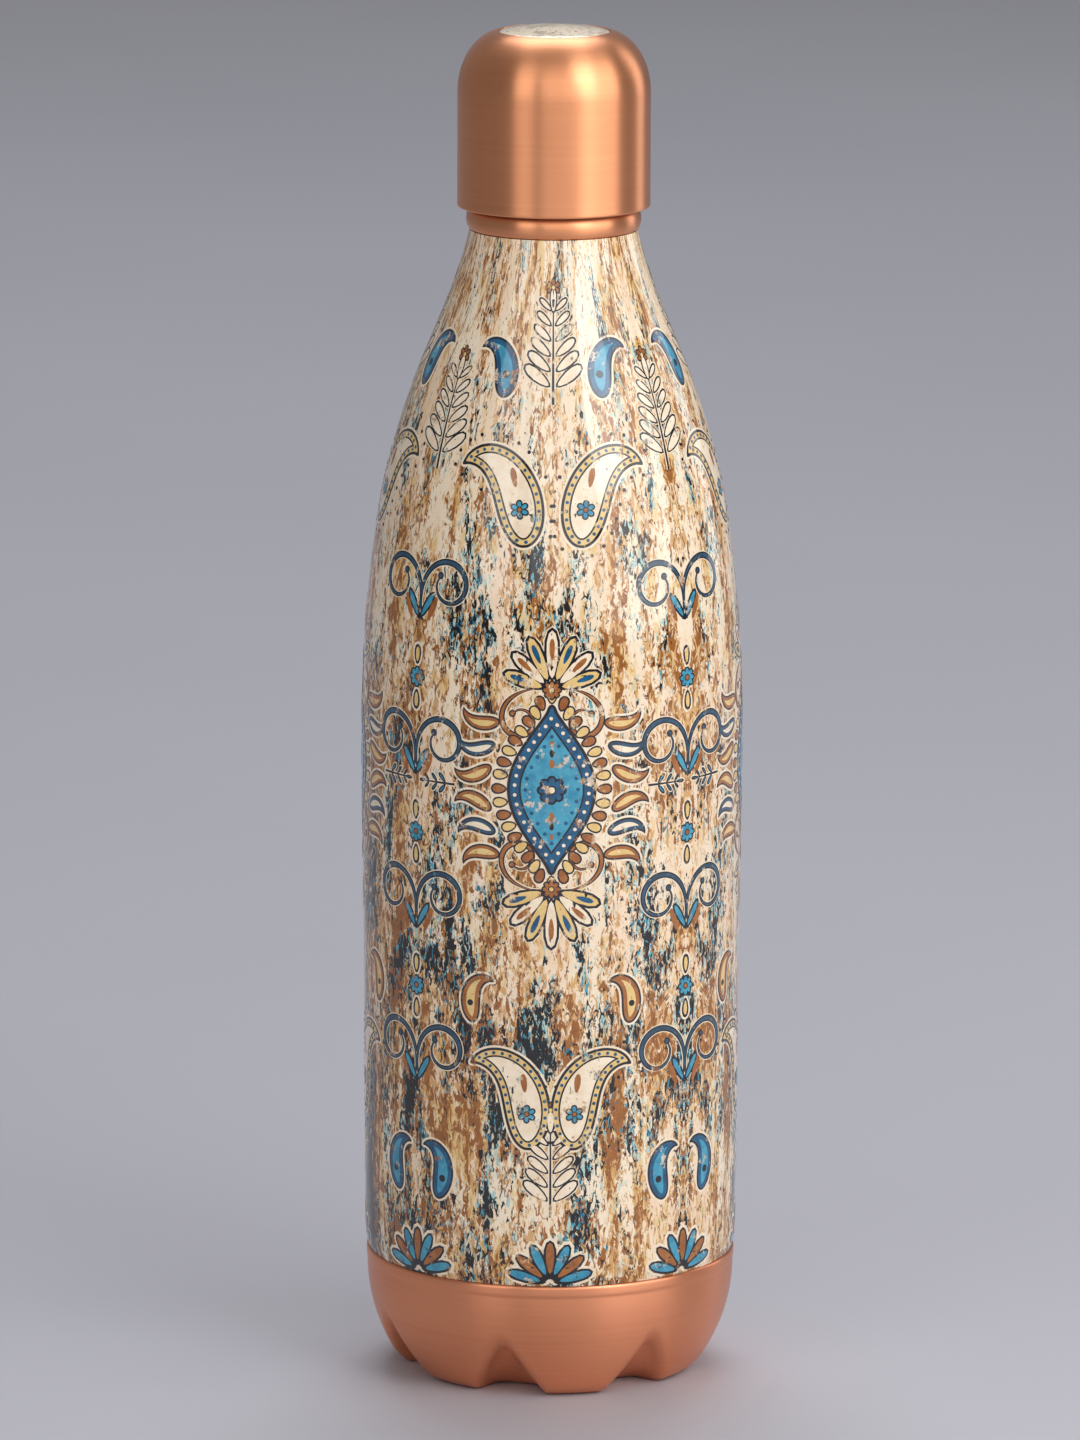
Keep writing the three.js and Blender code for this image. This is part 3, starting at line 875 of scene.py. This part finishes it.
def petals(pen, x, y, turn, count, spread, reach):
    """A fan of petals on one point, round a small flower."""
    for k in range(count):
        lean = turn + spread * (k - (count - 1) / 2)
        long = reach * (1 - 0.05 * abs(k - (count - 1) / 2))
        c, s = heading(lean)
        spot = (x + 0.66 * long * c, y + 0.66 * long * s)
        pen.drop(CREAMY, *spot, long + HALO, 0.3 * reach + HALO, lean)
        pen.drop(BLACK, *spot, long, 0.3 * reach, lean, 1)
        pen.drop(CREAMY if k % 2 else GOLD, *spot, long - 1.3, 0.3 * reach - 1.0, lean, 2)
        stripe = UMBER if k % 2 else BLUE
        pen.drop(stripe, spot[0] + c, spot[1] + s, 0.4 * long, 0.1 * reach, lean, 3)
    rosette(pen, x, y, 0.16 * reach, UMBER, GOLD, 8, 4)


def medallion(pen):
    """An almond in a wreath of drops, with a fan, scrolls and paisleys at each of its ends."""
    length = 34
    core = almond(length, 17)
    wreath = smooth_line(inset(core, -2.3), True, step=0.15)
    for side in pen.sides():
        for foot, up in ((0, 1), (length, -1)):
            scroll(side, 2.5, foot - 4 * up, 27, -380 * up, -78 if up > 0 else 258, UMBER)
            for k in range(3):
                edge, middle = (SLATE, CREAMY) if k % 2 else (UMBER, GOLD)
                spot = (10.6 + 0.9 * k, foot + (3.2 + 4.6 * k) * up)
                turn = 12 * k - 78
                turn = turn if up > 0 else 180 - turn
                paisley(side, 9.5, 4.0, 95 * up, ((edge, 0.35), (middle, 0.95)), *spot, turn)
        sprig(side, 20.5, length / 2, 8, 0, 3, BLACK, CYANIC)
    for foot, turn in ((-3.5, -90), (length + 3.5, 90)):
        petals(pen, 0, foot, turn, 7, 24, 11)
    pen.shape(CREAMY, inset(wreath, -1.8), over=1)
    for k, (x, y) in enumerate(wreath[np.linspace(0, len(wreath), 36, endpoint=False).astype(int)]):
        turn = math.degrees(math.atan2(y - length / 2, 3 * x))
        pen.drop(BLACK, x, y, 3.4, 2.3, turn, 2)
        pen.drop(UMBER if k % 2 else GOLD, x, y, 2.7, 1.6, turn, 3)
    pen.shape(BLACK, inset(core, -0.6), over=4)
    for over, (ink, depth) in enumerate(((BLUE, 0), (BLACK, 1.9), (CYANIC, 2.25)), 5):
        pen.shape(ink, inset(core, depth), over=over)
    beads(pen, CREAMY, inset(core, 0.95), 34, 0.75, 6)
    beads(pen, BLUE, inset(core, 3.2), 20, 0.8, 8)
    rosette(pen, 0, length / 2, 2.6, BLUE, CREAMY, 8, 8)
    for up in (-1, 1):
        for k in range(3):
            rise = length / 2 + (5.4 + 2.1 * k) * up
            pen.drop(BLACK if k % 2 else UMBER, 0, rise, 1.9 - 0.3 * k, 1.1 - 0.2 * k, 90 * up, 8)


def leaning_paisley(pen):
    """A cream paisley with blue beads on a gold border, and a flower and a drop inside."""
    outline = paisley(pen, 27, 12.5, 125, ((GOLD, 0.55), (BLACK, 1.6), (CREAMY, 1.95)))
    beads(pen, BLUE, inset(outline, 1.08), 30, 0.7, 5)
    rosette(pen, 0.4, 7.6, 1.7, CYANIC, UMBER, 6, 6)
    pen.drop(UMBER, 1.2, 14, 4.0, 1.3, 82, 5)
    beads(pen, BLACK, inset(outline, -1.9), 24, 0.75, 1)


def small_paisley(pen):
    """A plain blue paisley."""
    paisley(pen, 15, 6.4, 135, ((BLUE, 0.4), (CYANIC, 1.3)))
    pen.drop(BLACK, 0.2, 4.6, 1.5, 1.5, over=4)


def brown_paisley(pen):
    paisley(pen, 13, 5.6, -135, ((UMBER, 0.4), (GOLD, 1.25)))
    pen.drop(BLACK, -0.2, 4.2, 1.3, 1.3, over=4)


def crook(pen):
    """A scroll on a stalk with a leaf at each side of its foot."""
    scroll(pen, 0, 0, 38, 400, 6, SLATE)
    pen.drop(BLACK, -2.2, 5.2, 7, 1.9, 112, 1)
    pen.drop(CYANIC, -2.3, 5.4, 5.4, 1.1, 112, 2)
    pen.drop(UMBER, 2.6, 3.8, 5.5, 1.5, 58, 1)


def fan(pen):
    """Half a rosette of petals that stands on the print's lower edge."""
    for k in range(7):
        lean = 15 + 25 * k
        c, s = heading(lean)
        pen.drop(CREAMY, 5 * c, 5 * s, 9.8, 3.8, lean)
        pen.drop(BLACK, 5 * c, 5 * s, 8.4, 2.7, lean, 1)
        pen.drop(UMBER if k % 2 else CYANIC, 5.4 * c, 5.4 * s, 6.6, 1.7, lean, 2)


def tall_sprig(pen):
    sprig(pen, 0, 0, 20, 90, 6, BLACK, CREAMY)
    rosette(pen, 0, 22.5, 1.6, UMBER, GOLD)


def daisy(pen):
    """A round flower between two upright drops."""
    for side in (-1, 1):
        pen.drop(CREAMY, 0, side * 4.6, 5.2, 2.8, side * 90)
        pen.drop(BLACK, 0, side * 4.6, 4.2, 1.9, side * 90, 1)
        pen.drop(GOLD, 0, side * 4.6, 3.0, 1.0, side * 90, 2)
    rosette(pen, 0, 0, 1.9, CYANIC, UMBER, 8)


# ---------------------------------------------------------------- the repeats of the print

# The print repeats every quarter turn. Half way between two medallions, scrolls and flowers
# stand above each other.
QUARTER = 90
MEDALLION_TURN = 0
SIDE_TURN = MEDALLION_TURN + QUARTER / 2
ROWS = (
    # motif, angle, height of its foot, height of its middle above that, turn, mirrored pair
    (medallion, MEDALLION_TURN, 112, 18, 0, False),
    (leaning_paisley, MEDALLION_TURN + 7, 54, 12, 2, True),
    (leaning_paisley, MEDALLION_TURN + 9, 178, 12, -6, True),
    (small_paisley, SIDE_TURN - 8, 42, 7, 20, True),
    (small_paisley, MEDALLION_TURN + 21, 207, 7, 4, True),
    (brown_paisley, MEDALLION_TURN + 24, 80, 6, -12, True),
    *((crook, SIDE_TURN + 2, height, 10, 10, True) for height in (64, 96, 128, 160)),
    *((daisy, SIDE_TURN, height, 0, 0, False) for height in (86, 118, 150)),
    (tall_sprig, SIDE_TURN, 192, 10, 0, False),
    (tall_sprig, MEDALLION_TURN, 206, 10, 0, False),
    (tall_sprig, MEDALLION_TURN, 40, 10, 0, False),
    (fan, MEDALLION_TURN, 26, 4, 0, False),
    (fan, SIDE_TURN, 26, 4, 0, False),
)


def draw_print():
    for quarter in range(0, 360, QUARTER):
        for motif, angle, height, middle, turn, paired in ROWS:
            motif(Pen(angle + quarter, height, middle, turn))
            if paired:
                centre = MEDALLION_TURN if angle < MEDALLION_TURN + QUARTER / 3 else SIDE_TURN
                motif(Pen(2 * centre - angle + quarter, height, middle, -turn, flip=-1))
    for ink in inks:
        ink.build()


# ---------------------------------------------------------------- the base


def wall_radius(height):
    below = max(0, BASE_STRAIGHT - height)
    return BASE_RADIUS - BASE_ROUND + math.sqrt(BASE_ROUND**2 - below**2)


def edge_height(degrees):
    """The wall's lower edge: 0 on a foot and GROOVE_HEIGHT half way to the next foot."""
    x = (degrees - FOOT_HALF_ANGLE) / (180 / FEET - FOOT_HALF_ANGLE)
    ease_in, ease_out = 0.15, 0.2
    rise = 1 - ease_in / 2 - ease_out / 2
    if x <= 0:
        return 0
    if x < ease_in:
        return GROOVE_HEIGHT * x * x / (2 * ease_in) / rise
    if x < 1 - ease_out:
        return GROOVE_HEIGHT * (x - ease_in / 2) / rise
    return GROOVE_HEIGHT * (1 - (1 - x) ** 2 / (2 * ease_out) / rise)


def underside_height(radius, edge):
    """0 on the ring that joins the feet, up to edge at the wall, and domed in the middle."""
    u = (radius - FOOT_INNER_RADIUS) / (wall_radius(edge) - FOOT_INNER_RADIUS)
    u = min(1, max(0, u))
    middle = max(0, 1 - (radius / FOOT_INNER_RADIUS) ** 2)
    return edge * u * u * (3 - 2 * u) + BASE_RISE * middle * middle


def base_line(degrees):
    """The outside of the base from its middle to the top of the spigot."""
    edge = edge_height(degrees)
    outer = wall_radius(edge) - FOOT_EDGE
    radii = [*np.linspace(0, FOOT_INNER_RADIUS, 10), *np.linspace(FOOT_INNER_RADIUS, outer, 12)[1:]]
    line = [(r, underside_height(r, edge)) for r in radii]
    high = edge + FOOT_EDGE
    corner = [line[-1], (wall_radius(edge), edge), (wall_radius(high), high)]
    line += [tuple(p) for p in bezier(corner, 8)[1:]]
    line += [(wall_radius(h), h) for h in np.linspace(high, BASE_STRAIGHT, 14)[1:]]
    bead = BASE_RADIUS + ROLLED_EDGE
    rim = [
        (BASE_RADIUS, BASE_STRAIGHT),
        (BASE_RADIUS, BASE_STRAIGHT + 0.7, 0.3),
        (bead, BASE_STRAIGHT + 1.3, 0.4),
        (bead, BASE_RIM, 0.7),
        (SPIGOT_RADIUS, BASE_RIM, 0.2),
        (SPIGOT_RADIUS, base_high.z),
    ]
    return line + [tuple(p) for p in rounded(rim)[1:]]


def base_cup():
    """The outside is a grid of columns round the base, and the inside follows it a wall away."""
    columns_per_foot = 32
    columns = FEET * columns_per_foot
    lines, angles = [], []
    for c in range(columns):
        degrees = (c % columns_per_foot) * 360 / columns
        from_foot = min(degrees, 360 / FEET - degrees)
        lines.append(base_line(from_foot))
        angles.append(math.radians(FOOT_TURN + c * 360 / columns))
    radii = np.array(lines)[:, :, 0]
    heights = np.array(lines)[:, :, 1]
    turn = np.array(angles)[:, None]
    outside = np.stack([radii * np.sin(turn), -radii * np.cos(turn), heights], axis=2)
    round_way = np.roll(outside, -1, 0) - np.roll(outside, 1, 0)
    up_way = np.gradient(outside, axis=1)
    normal = np.cross(round_way, up_way)
    normal[:, 0] = (0, 0, -1)
    normal /= np.linalg.norm(normal, axis=2, keepdims=True)
    inside = outside - BASE_WALL * normal
    rows = outside.shape[1]
    spigot = SPIGOT_RADIUS - BASE_WALL
    inside[:, -1] = np.concatenate(
        [spigot * np.sin(turn), -spigot * np.cos(turn), 0 * turn + base_high.z], axis=1
    )
    vertices = [outside[0, 0], inside[0, 0]]
    vertices += [p for grid in (outside, inside) for line in grid for p in line[1:]]

    def index(grid, c, r):
        return grid if r == 0 else 2 + (grid * columns + c % columns) * (rows - 1) + r - 1

    faces = []
    for c in range(columns):
        for r in range(rows - 1):
            for grid in (0, 1):
                near, far = [[index(grid, k, r), index(grid, k, r + 1)] for k in (c, c + 1)]
                faces.append(list(dict.fromkeys([near[0], far[0], far[1], near[1]])))
        near, far = [[index(grid, k, rows - 1) for grid in (0, 1)] for k in (c, c + 1)]
        faces.append([near[0], far[0], far[1], near[1]])
    name, slot = "base_cup_copper", "copper_brushed"
    add_piece(name, vertices, faces, copper_base, "bottle", ["base_cup"], 50)


# ---------------------------------------------------------------- the cap


def crown_height(radius):
    return CAP_TOP - (CAP_TOP - CAP_ROUND_TOP) * (radius / CAP_FLAT_RADIUS) ** 2


def cap_round(deep, steps):
    """The quarter ellipse from the cap's side up to its crown, or one deep millimetres inside."""
    line = []
    for t in np.linspace(0, math.pi / 2, steps + 1):
        radius = CAP_FLAT_RADIUS + (CAP_RADIUS - CAP_FLAT_RADIUS - deep) * math.cos(t)
        line.append((radius, CAP_SHOULDER + (CAP_ROUND_TOP - CAP_SHOULDER - deep) * math.sin(t)))
    return line


def cap_shell():
    """The dome with its rolled hem, and a shallow seat for the printed disc."""
    hem, seat, recess = 18, DISC_RADIUS + 0.12, 0.5
    outside = [p for p in cap_round(0, 36) if p[0] > seat + 0.3]
    inside = cap_round(SHEET, 24)
    skirt = [(CAP_RADIUS, h) for h in np.linspace(CAP_BOTTOM + 1.4, CAP_SHOULDER, 12)[:-1]]
    edge = rounded(
        [
            (CAP_RADIUS - SHEET, CAP_BOTTOM + 2),
            (CAP_RADIUS - SHEET, CAP_BOTTOM + 0.6, 0.3),
            (hem, CAP_BOTTOM + 0.6, 0.25),
            (hem, CAP_BOTTOM, 0.25),
            (CAP_RADIUS + 0.05, CAP_BOTTOM, 0.45),
            (CAP_RADIUS, CAP_BOTTOM + 1.4),
        ]
    )[1:-1]
    rim = rounded(
        [
            outside[-1],
            (seat, crown_height(CAP_FLAT_RADIUS) - 0.05, 0.25),
            (seat, crown_height(seat) - recess, 0.1),
            (0, crown_height(0) - recess),
        ]
    )[1:]
    ceiling = (0, crown_height(0) - recess - SHEET)
    outline = [ceiling, *inside[::-1], *edge, *skirt, *outside, *rim]
    add_turned("cap_shell", "copper", outline, SIDES, copper_cap, "cap", "copper_brushed")


def cap_top_disc():
    thick, bevel, drop = 0.42, 0.12, 0.1
    radii = np.linspace(0, DISC_RADIUS, 12)
    under = [(r, crown_height(r) - thick) for r in radii]
    over = [(r, crown_height(r)) for r in radii[::-1]]
    top = crown_height(DISC_RADIUS)
    outline = [*under, (DISC_RADIUS, top - drop), (DISC_RADIUS - bevel, top), *over[1:]]
    add_turned("cap_top_disc", "print", outline, DISC_SIDES, disc_film, "cap", "printed_film")


def cap_liner():
    """The threaded cup that grips the neck, with a hollow post up to the dome."""
    post, wall, taper, cup_height = 13, 1.4, 1, 18.1
    post_top, cup_top = CAP_ROUND_TOP - SHEET - 0.4, liner_low.z + cup_height
    heights = np.arange(liner_low.z + 0.4, LINER_FLOOR - 0.3, THREAD_STEP)
    outline = [(0, LINER_FLOOR), (LINER_BORE, LINER_FLOOR)]
    first = len(outline)
    outline += [(LINER_BORE, h) for h in heights[::-1]]
    outline += rounded(
        [
            (LINER_BORE + 0.2, liner_low.z),
            (LINER_RADIUS, liner_low.z, 0.2),
            (LINER_RADIUS, cup_top, 0.5),
            (post, cup_top, 0.8),
            (post - taper, post_top, 0.3),
            (post - taper - wall, post_top, 0.3),
            (post - wall, cup_top, 0.8),
            (0, cup_top),
        ]
    )
    start = THREAD_START + THREAD_PITCH / 2

    def radius_at(i, angle):
        radius, height = outline[i]
        if first <= i < first + len(heights):
            return radius - thread_reach(height, angle, start, 1.9, 0.9)
        return radius

    rest = (liner_plastic, "cap", "liner_plastic", THREAD_SHARP, radius_at)
    add_turned("cap_liner", "moulded", outline, SIDES, *rest)


def seal_disc():
    """A flat disc whose edge is stepped up by a pressed bead."""
    radius, low, high = seal_high.x, seal_low.z, seal_high.z
    step = low + 0.25
    outline = rounded(
        [
            (0, low),
            (radius - 2.2, low, 0.3),
            (radius - 1.6, step, 0.3),
            (radius, step, 0.3),
            (radius, high, 0.2),
            (0, high),
        ]
    )
    slot = "copper_polished"
    add_turned("cap_seal_disc", "copper", outline, DISC_SIDES, copper_drawn, "cap", slot)


def gasket():
    low, high, outer = gasket_low.z, gasket_high.z, gasket_high.x
    inner = outer - GASKET_WIDTH
    ring = rounded([(inner, low, 0.3), (outer, low, 0.3), (outer, high, 0.3), (inner, high, 0.3)])
    add_turned("cap_gasket", "ring", ring, DISC_SIDES, silicone, "seal", "silicone")


printed_wrap()
body_shell()
neck_collar()
threaded_sleeve()
base_cup()
cap_shell()
cap_top_disc()
cap_liner()
seal_disc()
gasket()
draw_print()


# ---------------------------------------------------------------- floor, light and camera


def floor():
    nodes = Nodes("pale_floor")
    cloud = nodes.noise(nodes.place(), 3.0, 4)
    nodes.set(Base_Color=nodes.mix(cloud, FLOOR_GREY, FLOOR_PALE), Roughness=0.55)
    bpy.ops.mesh.primitive_plane_add(size=30, location=(0, 0, 0))
    plane = bpy.context.object
    plane.name = "floor"
    plane.data.materials.append(nodes.material)


def softbox(name, azimuth, elevation, distance, width, height, watts, tint=(1, 1, 1)):
    """An area light that faces the middle of the bottle from a direction in degrees."""
    light = bpy.data.lights.new(name, "AREA")
    light.shape = "RECTANGLE"
    light.size, light.size_y = width, height
    light.energy = watts
    light.color = tint
    holder = bpy.data.objects.new(name, light)
    bpy.context.scene.collection.objects.link(holder)
    a, e = math.radians(azimuth), math.radians(elevation)
    back = Vector((math.sin(a) * math.cos(e), -math.cos(a) * math.cos(e), math.sin(e)))
    target = Vector((0, 0, 0.15))
    holder.location = target + back * distance
    holder.rotation_euler = back.to_track_quat("Z", "Y").to_euler()
    holder.visible_camera = False


def camera():
    """A long lens from slightly above, at the photograph's viewing angle."""
    data = bpy.data.cameras.new("camera")
    data.lens = 234.6
    data.sensor_width = 36
    holder = bpy.data.objects.new("camera", data)
    distance, height = 1.8907, 0.5186
    pitch, yaw, roll = 0.1999, 0.0013, 0.0033
    turn = Matrix.Rotation(yaw, 4, "Z")
    turn @= Matrix.Rotation(math.pi / 2 - pitch, 4, "X") @ Matrix.Rotation(roll, 4, "Z")
    holder.matrix_world = Matrix.Translation((0, -distance, height)) @ turn
    bpy.context.scene.collection.objects.link(holder)
    bpy.context.scene.camera = holder


floor()
softbox("key_right", 57, 22, 1.0, 0.95, 0.9, 5.6)
softbox("window", 40, 34, 1.05, 0.42, 0.66, 2.3, (0.93, 0.97, 1.0))
softbox("fill_left", -36, 24, 1.0, 0.4, 0.8, 1.6)
softbox("front", 6, 24, 1.05, 0.8, 0.8, 2.7)
softbox("rim_right", 124, 18, 1.0, 0.3, 0.8, 1.0)
softbox("back_top", 180, 58, 2.4, 1.5, 1.5, 31.0, (0.9, 0.94, 1.0))
world = bpy.data.worlds.new("studio")
world.use_nodes = True
world.node_tree.nodes["Background"].inputs["Color"].default_value = (0.93, 0.92, 0.95, 1)
world.node_tree.nodes["Background"].inputs["Strength"].default_value = 0.26
bpy.context.scene.world = world
bpy.context.scene.view_settings.view_transform = "Standard"
camera()
